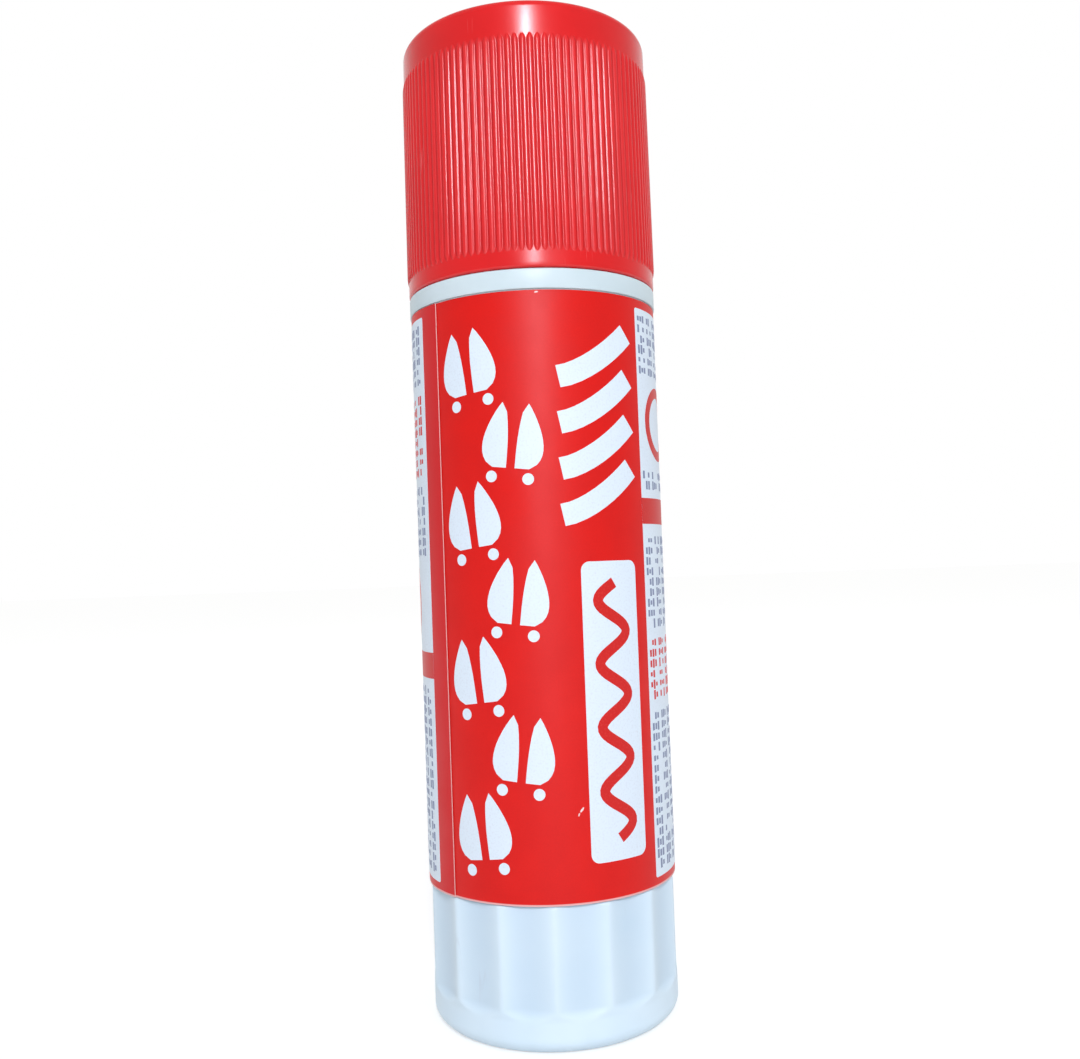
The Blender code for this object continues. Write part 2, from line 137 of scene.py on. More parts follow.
def runTree(piece, tree, sizes, material):
    # modifier inputs are set by identifier before the first evaluation
    modifier = piece.modifiers.new(tree.name, "NODES")
    modifier.node_group = tree
    values = {**sizes, "Material": material}
    for item in tree.interface.items_tree:
        if item.in_out == "INPUT" and item.name in values:
            modifier[item.identifier] = values[item.name]
    return plainMesh(piece)


def meshFrom(shape, name):  # a bmesh made a plain mesh
    mesh = bpy.data.meshes.new(name)
    shape.to_mesh(mesh)
    shape.free()
    return mesh


def smooth(mesh, sharp):
    mesh.shade_smooth()
    mesh.set_sharp_from_angle(angle=math.radians(sharp))
    return mesh


def seat(piece, body, slot, *nodes):
    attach(piece, body)
    if nodes:
        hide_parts(*nodes)
    print("made", piece.name, len(piece.data.polygons), "faces")


def arcPoints(radius, height, size, start, end, steps):  # a round corner of a profile, angles from outward
    turns = [math.radians(start + (end - start) * step / steps) for step in range(steps + 1)]
    return [(radius + size * math.cos(turn), height + size * math.sin(turn)) for turn in turns]


def spread(low, high, count):  # evenly spaced values, both ends included
    return [low + (high - low) * step / (count - 1) for step in range(count)]


def turned(name, profile, columns, closed=False):
    # profile of (radius, height[, sides]) run down its outer side; radius 0 is a pole
    points, faces, rings = [], [], []
    for radius, height, *sides in profile:
        if radius == 0:
            rings.append([len(points)] * columns)
            points.append((0, 0, height))
            continue
        rings.append(range(len(points), len(points) + columns))
        for column in range(columns):
            turn = math.tau * column / columns
            half = math.pi / sides[0] if sides else 0
            flat = math.cos(half) / math.cos(turn % (2 * half) - half) if sides else 1
            points.append((radius * flat * math.sin(turn), -radius * flat * math.cos(turn), height))
    pairs = list(zip(rings, rings[1:])) + ([(rings[-1], rings[0])] if closed else [])
    for above, below in pairs:
        for column in range(columns):
            after = (column + 1) % columns
            corners = (above[column], below[column], below[after], above[after])
            faces.append(list(dict.fromkeys(corners)))
    mesh = bpy.data.meshes.new(name)
    mesh.from_pydata(points, [], faces)
    return newObject(name, smooth(mesh, turnedSharp))


def workBars(piece, operation, count, offset, inner, outer, width, low, high):
    # a ring of radial bars, cut from the piece or joined to it; offset is the first bar's share of a step
    bars = bmesh.new()
    size = Matrix.Diagonal((outer - inner, width, high - low, 1.0))
    move = Matrix.Translation(((inner + outer) / 2, 0, (low + high) / 2))
    for number in range(count):
        turn = Matrix.Rotation(math.tau * (number + offset) / count, 4, "Z")
        bmesh.ops.create_cube(bars, size=1.0, matrix=turn @ move @ size)
    tool = newObject("bars", meshFrom(bars, "bars"))
    modifier = piece.modifiers.new("bars", "BOOLEAN")
    modifier.operation = operation
    modifier.object = tool
    plainMesh(piece)
    bpy.data.objects.remove(tool)


def roundAxis(add):  # a point's height, its way out from the axis and its angle from the front
    x, y, z = add("SeparateXYZ", [add("GeometryNodeInputPosition")]).outputs
    outward = add("CombineXYZ", [x, y])
    behind = add("MULTIPLY", [y, -1.0])
    angle = add("ARCTAN2", [x, behind])
    return z, outward, angle


def beyond(add, outward, radius):  # true for points farther than that from the axis
    reach = add("VectorMath", [outward], "LENGTH")
    return add("FunctionNodeCompare", [reach, radius], "GREATER_THAN")


def offRidge(add, angle, count):  # 0 on a ridge, 0.5 midway between two
    perTurn = add("DIVIDE", [count, math.tau])
    ridges = add("MULTIPLY", [angle, perTurn])
    return add("PINGPONG", [ridges, 0.5])


def fromEnds(add, given, z):  # distance inside the nearer of the two ends
    below = add("SUBTRACT", [given["High"], z])
    above = add("SUBTRACT", [z, given["Low"]])
    return add("MINIMUM", [below, above])


def raiseWall(add, given, outward, height, chosen=True, **paintedLight):
    # moves the chosen points out from the axis, and keeps on them the masks of painted highlight and painted
    #     # shade that the material reads by name
    shape = given["Geometry"]
    for name, value in paintedLight.items():
        shape = add("GeometryNodeStoreNamedAttribute", {
            "Geometry": shape, "Selection": chosen, "Name": name, "Value": value})
    direction = add("VectorMath", [outward], "NORMALIZE")
    offset = add("VectorMath", [direction, height], "SCALE")
    endTree(add, given, add("GeometryNodeSetPosition", {
        "Geometry": shape, "Selection": chosen, "Offset": offset}))


# Camera, at the photograph's viewing angle

view = Settings(
    lens=36.18, sensor=36.0,  # mm
    eye=(0.05 * mm, -133.6 * mm, 53.4 * mm), nearest=5 * mm,
    yaw=0.02, pitch=1.78, roll=2.08,  # degrees
)


def setCamera():
    camera = newObject("camera", bpy.data.cameras.new("camera"))
    camera.data.sensor_width = view.sensor
    camera.data.sensor_fit = "HORIZONTAL"
    camera.data.lens = view.lens
    camera.data.clip_start = view.nearest
    turn = Matrix.Identity(3)
    for degrees, axis in ((view.yaw, "Z"), (view.pitch, "X"), (view.roll, "Y")):
        turn = turn @ Matrix.Rotation(math.radians(degrees), 3, axis)
    level = Matrix.Rotation(math.pi / 2, 3, "X")
    camera.matrix_world = Matrix.LocRotScale(Vector(view.eye), (turn @ level).to_quaternion(), None)
    scene.camera = camera


setCamera()
print("camera set")


# Materials

plasticStyle = Settings(
    flowRange=(0.35, 0.65), ior=1.49, scratchDull=0.3, scratchStretch=(1.0, 1.0, 0.04),
    scratchLean=0.12, scratchWidth=0.008, patchSize=6 * mm, patchRange=(0.64, 0.74),
    wallRange=(0.2, 0.5),
)


def hairlines(add, spacing):
    # fine handling scratches: contours of a noise drawn out upright, kept to a few patches of the walls
    s = plasticStyle
    coordinates = add("TexCoord").outputs
    place = coordinates["Object"]
    drawn = add("Mapping", {"Vector": place, "Scale": s.scratchStretch, "Rotation": (0, s.scratchLean, 0)})
    waves = noise(add, drawn, spacing, 1)
    centred = add("SUBTRACT", [waves, 0.5])
    away = add("ABSOLUTE", [centred])
    line = add("MapRange", [away, 0.0, s.scratchWidth, 1.0, 0.0])
    patches = noise(add, place, s.patchSize, 1)
    few = add("MapRange", [patches, *s.patchRange])
    some = add("MULTIPLY", [line, few])
    tilt = add("SeparateXYZ", [coordinates["Normal"]]).outputs["Z"]
    level = add("ABSOLUTE", [tilt])
    upright = add("MapRange", [level, *s.wallRange, 1.0, 0.0])
    return add("MULTIPLY", [some, upright])


def mouldedPlastic(name, look):
    # injection-moulded polypropylene: even colour with faint flow marks and a soft sheen, with a painted
    #     # highlight on crests and ridges and painted shade in the hollows
    s = plasticStyle
    material, add = newMaterial(name)
    place = add("TexCoord").outputs["Object"]
    flow = noise(add, place, look["flowSize"], 3)
    marks = add("MapRange", [flow, *s.flowRange])
    colour = add("Mix", [marks, linear(look["deep"]), linear(look["light"])], data_type="RGBA")
    crest, hollow = (add("Attribute", attribute_name=paintedLight).outputs["Fac"] for paintedLight in ("crest", "hollow"))
    scratches = hairlines(add, look["scratchSize"])
    # crests take a paler painted highlight, hollows darker painted shade, and scratches their own paler colour
    for source, (share, tint) in ((crest, look["paintedHighlight"]), (hollow, look["paintedShade"]), (scratches, look["scratch"])):
        mark = add("MULTIPLY", [source, share])
        colour = add("Mix", [mark, colour, linear(tint)], data_type="RGBA")
    rough = add("MapRange", [marks, 0.0, 1.0, *look["rough"]])
    dull = add("MULTIPLY_ADD", [mark, s.scratchDull, rough])
    grain = noise(add, place, look["grainSize"], 2)
    bump = add("Bump", {"Height": grain, "Distance": look["grainHeight"]})
    return coat(material, {"Base Color": colour, "Roughness": dull, "Normal": bump, "IOR": s.ior,
                           "Specular IOR Level": look["shine"]})


redPlastic = mouldedPlastic("red_polypropylene_moulded", {
    "deep": "#DA070E", "light": "#E20B11", "flowSize": 9 * mm,
    "grainSize": 0.35 * mm, "grainHeight": 0.001 * mm, "rough": (0.21, 0.25), "shine": 0.60,
    # painted highlight on the rib crests and painted shade in the rib valleys, each as a share and a colour
    "paintedHighlight": (0.05, "#F4747A"), "paintedShade": (0.30, "#960A1C"), "scratch": (0.25, "#F0A8A6"),
    "scratchSize": 2.2 * mm,
})
whitePlasticLook = {
    "deep": "#CEDEE2", "light": "#D5E4E8", "flowSize": 8 * mm,
    "grainSize": 0.4 * mm, "grainHeight": 0.0025 * mm, "rough": (0.36, 0.46), "shine": 0.45,
    # painted highlight on the knob's ridges and painted shade in its flutes, each as a share and a colour
    "paintedHighlight": (0.25, "#EEF5FA"), "paintedShade": (0.35, "#B9C9DA"), "scratch": (0.35, "#C3CDD8"),
    "scratchSize": 2.4 * mm,
}
whitePlastic = mouldedPlastic("white_polypropylene_moulded", whitePlasticLook)
knobPlastic = mouldedPlastic("bluish_white_polypropylene_moulded", {
    **whitePlasticLook, "deep": "#D6EDFA", "light": "#DCF1FC"})
naturalPlastic = mouldedPlastic("natural_polypropylene_moulded", {
    **whitePlasticLook, "deep": "#CBD2D6", "light": "#D9DFE2", "shine": 0.5})

filmStyle = Settings(
    red="#E00E06", deepRed="#D80C06", crimson="#D6141A", bare="#F6DFDC",
    inkSize=0.22 * mm, mottleSize=5 * mm, inkShare=0.6, depthRange=(0.6, 1.0),
    lapFade=0.3 * mm, edgeRange=(0.14 * mm, 0.24 * mm), edgeBare=0.6,
    mottleRange=(0.3, 0.7), rough=(0.36, 0.46), ior=1.5, shine=0.32,
    ragged=0.9, scuffRange=(1.1, 1.5), scuffDepth=-6.0, relief=0.003 * mm,
    scuffs=[  # angle from the front, height, length and width in mm, lean in degrees, whiteness
        (13.6, 26.4, 0.75, 0.26, 38, 1.0),
        (12.2, 25.9, 0.45, 0.22, 20, 0.8),
        (35.0, 35.5, 2.6, 0.05, 12, 0.35),
        (36.5, 40.5, 3.4, 0.05, -6, 0.30),
        (25.5, 33.0, 1.6, 0.05, 24, 0.35),
        (41.0, 31.0, 2.4, 0.06, -14, 0.45),
        (2.0, 83.3, 0.5, 0.22, 80, 0.9),
    ],
)


def printedFilm():
    # gravure-printed polypropylene film with a satin lacquer: solid red, scuffed white in spots, with an ink
    # grain drawn a little coarser than a print screen so that it shows
    s = filmStyle
    material, add = newMaterial("red_printed_polypropylene_film")
    flat = add("Attribute", attribute_name="flat").outputs["Vector"]
    ink = noise(add, flat, s.inkSize, 2)
    mottle = noise(add, flat, s.mottleSize, 3)
    mixed = add("MULTIPLY_ADD", [ink, s.inkShare, mottle])
    depth = add("MapRange", [mixed, *s.depthRange])
    along = add("SeparateXYZ", [flat]).outputs
    lapStart = math.radians(labelStyle.seam + 360 - labelStyle.lap) * filmRadius
    lap = add("MapRange", [along["X"], lapStart, lapStart + s.lapFade])
    scuffed = 0.0
    for angle, height, length, width, lean, white in s.scuffs:
        middle = Vector((math.radians(angle) * filmRadius, 0.0, height * mm))
        upright = math.radians(-lean)
        shift = Matrix.Rotation(upright, 3, "Y") @ -middle
        near = add("Mapping", {"Vector": flat, "Rotation": (0.0, upright, 0.0), "Location": shift})
        size = (2 / (width * mm), 1.0, 2 / (length * mm))
        scaled = add("VectorMath", [near, size], "MULTIPLY")
        away = add("VectorMath", [scaled], "LENGTH")
        ragged = add("MULTIPLY_ADD", [ink, s.ragged, away])
        mark = add("MapRange", [ragged, *s.scuffRange, white, 0.0])
        scuffed = add("MAXIMUM", [scuffed, mark])
    edge = [labelLow + rise for rise in s.edgeRange]
    margin = add("MapRange", [along["Z"], *edge, s.edgeBare, 0.0])
    bare = add("MAXIMUM", [scuffed, margin])
    colour = linear(s.red)
    for share, tint in ((depth, s.deepRed), (lap, s.crimson), (bare, s.bare)):
        colour = add("Mix", [share, colour, linear(tint)], data_type="RGBA")
    rough = add("MapRange", [mottle, *s.mottleRange, *s.rough])
    relief = add("MULTIPLY_ADD", [scuffed, s.scuffDepth, ink])
    bump = add("Bump", {"Height": relief, "Distance": s.relief})
    return coat(material, {"Base Color": colour, "Roughness": rough, "Normal": bump, "IOR": s.ior,
                           "Specular IOR Level": s.shine})


inkStyle = Settings(
    grainSize=0.25 * mm, grainHeight=0.002 * mm, thinRange=(0.50, 0.85), roughSpread=0.06,
    shine=0.35,
)


def printedInk(name, base, thin, rough):
    # flexo ink over the film: a nearly solid coat with pinholes and a slightly uneven lay
    s = inkStyle
    material, add = newMaterial(name)
    flat = add("Attribute", attribute_name="flat").outputs["Vector"]
    grain = noise(add, flat, s.grainSize, 3)
    thinSpots = add("MapRange", [grain, *s.thinRange])
    tint = add("Mix", [thinSpots, linear(base), linear(thin)], data_type="RGBA")
    sheen = add("MapRange", [grain, 0.0, 1.0, rough - s.roughSpread, rough + s.roughSpread])
    bump = add("Bump", {"Height": grain, "Distance": s.grainHeight})
    return coat(material, {"Base Color": tint, "Roughness": sheen, "Normal": bump,
                           "Specular IOR Level": s.shine})


waxLook = Settings(
    deep="#A81016", light="#C4181C", cloudSize=5 * mm, pale="#D98A86", frostSize=0.7 * mm,
    bloomRange=(0.52, 0.78), bloom=0.16, rough=(0.38, 0.62), skin=0.03 * mm, skinStrength=0.7,
    ior=1.43, glow=0.15, glowDepth=(1.2 * mm, 0.4 * mm, 0.3 * mm),
)


def castWax():
    # cast paraffin wax with red pigment: deep mottled red, greasy soft sheen and a pale bloom
    s = waxLook
    material, add = newMaterial("red_cast_wax")
    place = add("TexCoord").outputs["Object"]
    cloud = noise(add, place, s.cloudSize, 4)
    tint = add("Mix", [cloud, linear(s.deep), linear(s.light)], data_type="RGBA")
    frost = noise(add, place, s.frostSize, 4)
    bloom = add("MapRange", [frost, *s.bloomRange, 0.0, s.bloom])
    pale = add("Mix", [bloom, tint, linear(s.pale)], data_type="RGBA")
    rough = add("MapRange", [frost, 0.0, 1.0, *s.rough])
    bump = add("Bump", {"Height": frost, "Distance": s.skin, "Strength": s.skinStrength})
    return coat(material, {"Base Color": pale, "Roughness": rough, "Normal": bump, "IOR": s.ior,
                           "Subsurface Weight": s.glow, "Subsurface Radius": s.glowDepth})


# Cap: a turned shell whose ribs a node tree raises from its wall

capStyle = Settings(
    ribs=112, columnsPerRib=12, ribShare=0.41, ribHeight=0.175 * mm, crestPower=2.6,
    ribEnd=0.7 * mm, endTaper=0.55, rowGap=0.1 * mm,
    endRows=(0, 0.06, 0.15, 0.27, 0.42, 0.6, 0.8, 1.0), crownRows=(0.0, 0.3, 0.55, 0.78, 0.94),
    rimGap=0.06 * mm, plainRim=1.85 * mm, plainTop=4.0 * mm, overhang=0.03 * mm,
    draft=0.18 * mm, wall=1.25 * mm, roof=1.2 * mm, crown=0.40 * mm,
    topRound=0.95 * mm, rimRound=0.30 * mm, innerRound=1.0 * mm,
    bead=0.08 * mm, beadHeight=3.0 * mm, beadRow=0.12 * mm, beadClear=1.2 * mm,
    gateRadius=1.5 * mm, gateFloor=0.8, gateDepth=0.25 * mm,
)


def ribTree(sizes):
    tree, add, given = newTree("raisedRibs", sizes)
    z, outward, angle = roundAxis(add)
    offCrest = offRidge(add, angle, given["Ribs"])
    full = add("MapRange", [fromEnds(add, given, z), 0.0, given["End Length"]])
    narrow = add("POWER", [full, given["End Taper"]])
    half = add("MULTIPLY", [narrow, given["Rib Share"]])
    halfSafe = add("MAXIMUM", [half, 0.001])  # never nothing, because the next range ends there
    across = add("MapRange", [offCrest, 0.0, halfSafe])
    fall = add("POWER", [across, given["Crest Power"]])
    bulge = add("SUBTRACT", [1.0, fall])  # broad rounded crests
    crest = add("MULTIPLY", [bulge, narrow])
    # the share between the ribs, a mask for painted shade in the valleys
    valleyShade = add("SUBTRACT", [full, crest])
    height = add("MULTIPLY", [crest, given["Rib Height"]])
    onWall = beyond(add, outward, given["Wall Radius"])
    # crest and valley go to the material as masks for a painted highlight and painted shade
    raiseWall(add, given, outward, height, onWall, crest=crest, hollow=valleyShade)
    return tree


def buildCap():
    s = capStyle
    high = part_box("cap")[1].z
    base, top = shoulderHeight + s.rimGap, high - s.crown  # the top is crowned, so its edge lies lower
    rim = barrelRadius + s.overhang

    def outside(height):
        return rim - s.draft * (height - base) / (top - base)

    def inside(height):
        return outside(height) - s.wall

    roundBase = top - s.topRound
    ribLow, ribHigh = base + s.plainRim, top - s.plainTop
    edge = outside(roundBase) - s.topRound
    gate, sunk = s.gateRadius, high - s.gateDepth
    profile = [(0.0, sunk), (gate * s.gateFloor, sunk)]
    for share in s.crownRows:
        profile.append((gate + (edge - gate) * share, top + s.crown * (1 - share ** 2)))
    profile += arcPoints(edge, roundBase, s.topRound, 90, 0, 12)
    ends = [s.ribEnd * share for share in s.endRows]
    heights = [(roundBase + ribHigh) / 2, ribHigh + s.rowGap]
    heights += [ribHigh - end for end in ends]
    heights += spread(ribHigh - s.ribEnd, ribLow + s.ribEnd, 5)[1:-1]
    heights += [ribLow + end for end in reversed(ends)]
    heights += [ribLow - s.rowGap, base + s.rimRound * 2]
    profile += [(outside(height), height) for height in heights]
    profile += arcPoints(rim - s.rimRound, base + s.rimRound, s.rimRound, 0, -90, 4)
    profile += [(inside(base) + s.rimRound, base), (inside(base), base + s.rimRound)]
    bead = base + s.beadHeight
    for turn in range(-4, 5):
        height = bead + turn * s.beadRow
        profile.append((inside(height) - s.bead * math.cos(turn * math.pi / 8) ** 2, height))
    inner, ceiling = s.innerRound, top - s.roof
    profile += [(inside(height), height) for height in spread(bead + s.beadClear, ceiling - inner, 4)[:-1]]
    profile += arcPoints(inside(ceiling) - inner, ceiling - inner, inner, 0, 90, 5)
    profile += [(inside(ceiling) * 0.5, ceiling), (0.0, ceiling)]
    cap = turned("cap_shell", profile, s.ribs * s.columnsPerRib)
    sizes = {
        "Ribs": s.ribs, "Rib Share": s.ribShare, "Rib Height": s.ribHeight, "Low": ribLow,
        "High": ribHigh, "End Length": s.ribEnd, "End Taper": s.endTaper,
        "Wall Radius": inside(base) + s.wall / 2, "Crest Power": s.crestPower}
    runTree(cap, ribTree(sizes), sizes, redPlastic)
    seat(cap, "cap", "red_plastic", "cap")


buildCap()


# Barrel: a turned tube with its neck, snap bead, label recess and keyways

barrelStyle = Settings(
    columns=240, recess=0.30 * mm, band=2.3 * mm, edge=0.30 * mm, recessRound=0.1 * mm,
    baseChamfer=0.2 * mm, neck=13.317 * mm, neckFillet=(0.25 * mm, 0.07 * mm), bore=12.317 * mm,
    bead=0.15 * mm, beadHeight=6.0 * mm, beadHalf=0.5 * mm, beadRows=6,
    counterbore=13.5 * mm, counterboreDepth=6.0 * mm, grooveMiddle=2.6 * mm, grooveHalf=0.9 * mm,
    grooveDepth=0.5 * mm, keyways=4, keywayWidth=2.4 * mm, keywayRadius=13.217 * mm,
    keywayEnd=2.0 * mm, overcut=1 * mm,
)


def buildBarrel():
    s = barrelStyle
    base, top = (corner.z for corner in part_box("barrel"))
    shoulder = shoulderHeight
    recess, recessTop = barrelRadius - s.recess, shoulder - s.band
    neck, bore, edge, rows = s.neck, s.bore, s.edge, s.beadRows
    profile = arcPoints(neck - edge, top - edge, edge, 90, 0, 4)
    for step in range(-rows, rows + 1):
        swell = s.bead * math.cos(step * math.pi / (2 * rows)) ** 2
        profile.append((neck + swell, shoulder + s.beadHeight - step * s.beadHalf / rows))
    wide, tight = s.neckFillet
    profile += [(neck, shoulder + wide), (neck + tight, shoulder + tight), (neck + wide, shoulder)]
    profile += arcPoints(barrelRadius - edge, shoulder - edge, edge, 90, 0, 5)
    lip, chamfer = s.recessRound, s.baseChamfer
    profile += arcPoints(barrelRadius - lip, recessTop + lip, lip, 0, -90, 3)
    profile += [(recess, recessTop), (recess, base + chamfer), (recess - chamfer, base)]
    groove, stepHeight = base + s.grooveMiddle, base + s.counterboreDepth
    half, depth, wide = s.grooveHalf, s.grooveDepth, s.counterbore
    profile += [
        (wide, base), (wide, groove - half - depth), (wide + depth, groove - half),
        (wide + depth, groove + half), (wide, groove + half + depth), (wide, stepHeight),
        (bore, stepHeight), (bore, top - edge), (bore + edge, top),
    ]
    barrel = turned("barrel_tube", profile, s.columns, closed=True)
    workBars(barrel, "DIFFERENCE", s.keyways, 0.5, bore - s.overcut, s.keywayRadius,
             s.keywayWidth, stepHeight - s.overcut, shoulder - s.keywayEnd)
    barrel.data.materials.clear()
    barrel.data.materials.append(whitePlastic)
    seat(barrel, "barrel", "white_plastic", "barrel")


buildBarrel()


# Label: a film strip wound round the barrel over its own start, with printed shapes lying on it

labelStyle = Settings(
    seam=-47.3, lap=13.0, climb=24.0, climbLength=21.0,  # degrees
    lift=0.18 * mm, thickness=0.12 * mm, rippleHeight=0.012 * mm, rippleSize=7 * mm,
    ink=0.014 * mm, sink=0.03 * mm, columnStep=0.5 * mm, rowStep=1.5 * mm,
    weld=0.001 * mm, cutTolerance=0.003 * mm,
)
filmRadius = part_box("label")[1].x
labelLow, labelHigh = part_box("barrel")[0].z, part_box("label")[1].z
climbStart = math.radians(labelStyle.seam - labelStyle.lap + 360 - labelStyle.climb)
windSizes = {
    "Reel Radius": filmRadius, "Climb Start": climbStart,
    "Climb End": climbStart + math.radians(labelStyle.climbLength), "Climb Height": labelStyle.lift,
    "Ripple Height": labelStyle.rippleHeight, "Ripple Size": labelStyle.rippleSize,
}


def windTree():
    tree, add, given = newTree("windRound", windSizes)
    x, y, z = add("SeparateXYZ", [add("GeometryNodeInputPosition")]).outputs
    angle = add("DIVIDE", [x, given["Reel Radius"]])
    climb = add("MapRange", [angle, given["Climb Start"], given["Climb End"], 0.0, given["Climb Height"]],
                **eased)
    flat = add("CombineXYZ", {"X": x, "Z": z})
    density = add("DIVIDE", [1.0, given["Ripple Size"]])
    wave = add("TexNoise", {"Vector": flat, "Scale": density, "Detail": 1.0})
    centred = add("SUBTRACT", [wave, 0.5])
    reel = add("ADD", [given["Reel Radius"], climb])
    rippled = add("MULTIPLY_ADD", [centred, given["Ripple Height"], reel])
    reach = add("SUBTRACT", [rippled, y])
    sine = add("SINE", [angle])
    cosine = add("COSINE", [angle])
    side = add("MULTIPLY", [reach, sine])
    ahead = add("MULTIPLY", [reach, cosine])
    front = add("MULTIPLY", [ahead, -1.0])
    wound = add("CombineXYZ", [side, front, z])
    kept = add("GeometryNodeStoreNamedAttribute", {
        "Geometry": given["Geometry"], "Name": "flat", "Value": flat}, data_type="FLOAT_VECTOR")
    endTree(add, given, add("GeometryNodeSetPosition", {"Geometry": kept, "Position": wound}))
    return tree


windNodes = windTree()
redFilm = printedFilm()
filmCore = printedInk("white_polypropylene_film_edge", "#EBC4C0", "#DFA19C", 0.45)
whiteInk = printedInk("white_ink_on_film", "#E4F0FA", "#D8E0EA", 0.42)
redInk = printedInk("red_ink_on_film", "#D21A17", "#DA3A33", 0.42)
greyInk = printedInk("grey_blue_ink_on_film", "#7E89A8", "#9AA4BD", 0.45)


def flatSlab(name, xs, zs, inner, outer):  # a closed flat sheet, one side at each depth
    across, up = len(xs), len(zs)
    points = [(x, depth, z) for depth in (outer, inner) for z in zs for x in xs]
    front = [(r * across + c, r * across + c + 1, (r + 1) * across + c + 1, (r + 1) * across + c)
             for r in range(up - 1) for c in range(across - 1)]
    layer = across * up
    faces = front + [tuple(layer + corner for corner in reversed(face)) for face in front]
    rim = list(range(across)) + [r * across + across - 1 for r in range(1, up)]
    rim += [(up - 1) * across + c for c in range(across - 2, -1, -1)]
    rim += [r * across for r in range(up - 2, 0, -1)]
    for here, after in zip(rim, rim[1:] + rim[:1]):
        faces.append((after, here, here + layer, after + layer))
    mesh = bpy.data.meshes.new(name)
    mesh.from_pydata(points, [], faces)
    return newObject(name, smooth(mesh, sheetSharp))


def buildFilm():
    s = labelStyle
    start = math.radians(s.seam - s.lap) * filmRadius
    end = math.radians(s.seam + 360) * filmRadius
    xs = spread(start, end, round((end - start) / s.columnStep) + 1)
    zs = spread(labelLow, labelHigh, round((labelHigh - labelLow) / s.rowStep) + 1)
    film = flatSlab("label_film", xs, zs, s.thickness, 0.0)
    runTree(film, windNodes, windSizes, redFilm)
    film.data.materials.append(filmCore)
    sides = 2 * (len(xs) - 1) * (len(zs) - 1)  # the slab's two faces come first, then its cut edges
    for face in film.data.polygons[sides:]:
        face.material_index = 1
    seat(film, "barrel", "label_film", "label")


buildFilm()


def roundedBox(left, low, right, high, corner):
    outline = []
    for x, z, start in ((right, high, 0), (left, high, 90), (left, low, 180), (right, low, 270)):
        inX = x - corner if x == right else x + corner
        inZ = z - corner if z == high else z + corner
        outline += arcPoints(inX, inZ, corner, start, start + 90, 6)
    return outline


def circle(x, z, radius):
    return arcPoints(x, z, radius, 0, 360, 40)[:-1]


def moved(outline, x, z, lean):  # turned about the origin, then moved
    turn = Matrix.Rotation(math.radians(lean), 2)
    return [tuple(turn @ Vector(point) + Vector((x, z))) for point in outline]


hoofStyle = Settings(  # shares of the print's width across it and of its length along it
    spotSide=0.30, spotBack=0.62, spotRadius=0.085, clawEnds=(0.02, 0.97), clawSide=0.18,
    bulge=0.32, bulgeSkew=0.6, bulgePower=0.8, gap=0.07, gapFlare=0.10, flarePower=3,
)


def hoofPrint(x, z, length, width, lean):  # two claws pointed ahead and parted, with two spots behind
    s = hoofStyle
    heel, toe = s.clawEnds
    half = []
    for share in spread(heel, toe, 14):
        bulge = math.sin(math.pi * share ** s.bulgeSkew) ** s.bulgePower
        half.append((s.clawSide + s.bulge * bulge, share))
    for share in spread(toe, heel, 8)[1:]:
        half.append((s.gap + s.gapFlare * share ** s.flarePower, share))
    claws = []
    for side in (-1, 1):
        spot = circle(side * s.spotSide * width, -s.spotBack * length, s.spotRadius * length)
        claw = [(side * across * width, (share - 0.5) * length) for across, share in half]
        claws += [moved(spot, x, z, lean), moved(claw, x, z, lean)]
    return claws


def stroke(points, width):  # a band of even width along a path
    left, right = [], []
    for number, point in enumerate(points):
        before, after = points[max(number - 1, 0)], points[min(number + 1, len(points) - 1)]
        along = (Vector(after) - Vector(before)).normalized() * width / 2
        left.append((point[0] - along.y, point[1] + along.x))
        right.append((point[0] + along.y, point[1] - along.x))
    return left + right[::-1]


def printShapes(name, outlines, lift, material):  # filled outlines in mm, cut small and wound round
    s = labelStyle
    drawn = bpy.data.curves.new(name, "CURVE")
    drawn.dimensions = "2D"
    drawn.fill_mode = "BOTH"
    drawn.extrude = (s.ink + s.sink) / 2
    for outline in outlines:
        spline = drawn.splines.new("POLY")
        spline.points.add(len(outline) - 1)
        for point, (x, z) in zip(spline.points, outline):
            point.co = (x * mm, z * mm, 0, 1)
        spline.use_cyclic_u = True
    outlined = newObject(name, drawn)
    sheet = bmesh.new()
    sheet.from_mesh(madeMesh(outlined))
    bpy.data.objects.remove(outlined)
    bmesh.ops.remove_doubles(sheet, verts=sheet.verts, dist=s.weld)
    for axis, step in ((0, s.columnStep), (1, s.rowStep)):
        values = [vertex.co[axis] for vertex in sheet.verts]
        normal = Vector((1, 0, 0)) if axis == 0 else Vector((0, 1, 0))
        for number in range(math.ceil(min(values) / step), math.floor(max(values) / step) + 1):
            everything = sheet.verts[:] + sheet.edges[:] + sheet.faces[:]
            bmesh.ops.bisect_plane(sheet, geom=everything, dist=s.cutTolerance,
                                   plane_co=normal * number * step, plane_no=normal)
    middle = Matrix.Translation((0, (s.sink - s.ink) / 2 - lift, 0))
    bmesh.ops.transform(sheet, matrix=middle @ Matrix.Rotation(math.pi / 2, 4, "X"), verts=sheet.verts)
    bmesh.ops.recalc_face_normals(sheet, faces=sheet.faces)
    piece = newObject(name, smooth(meshFrom(sheet, name), sheetSharp))
    runTree(piece, windNodes, windSizes, material)
    seat(piece, "barrel", "label_film")


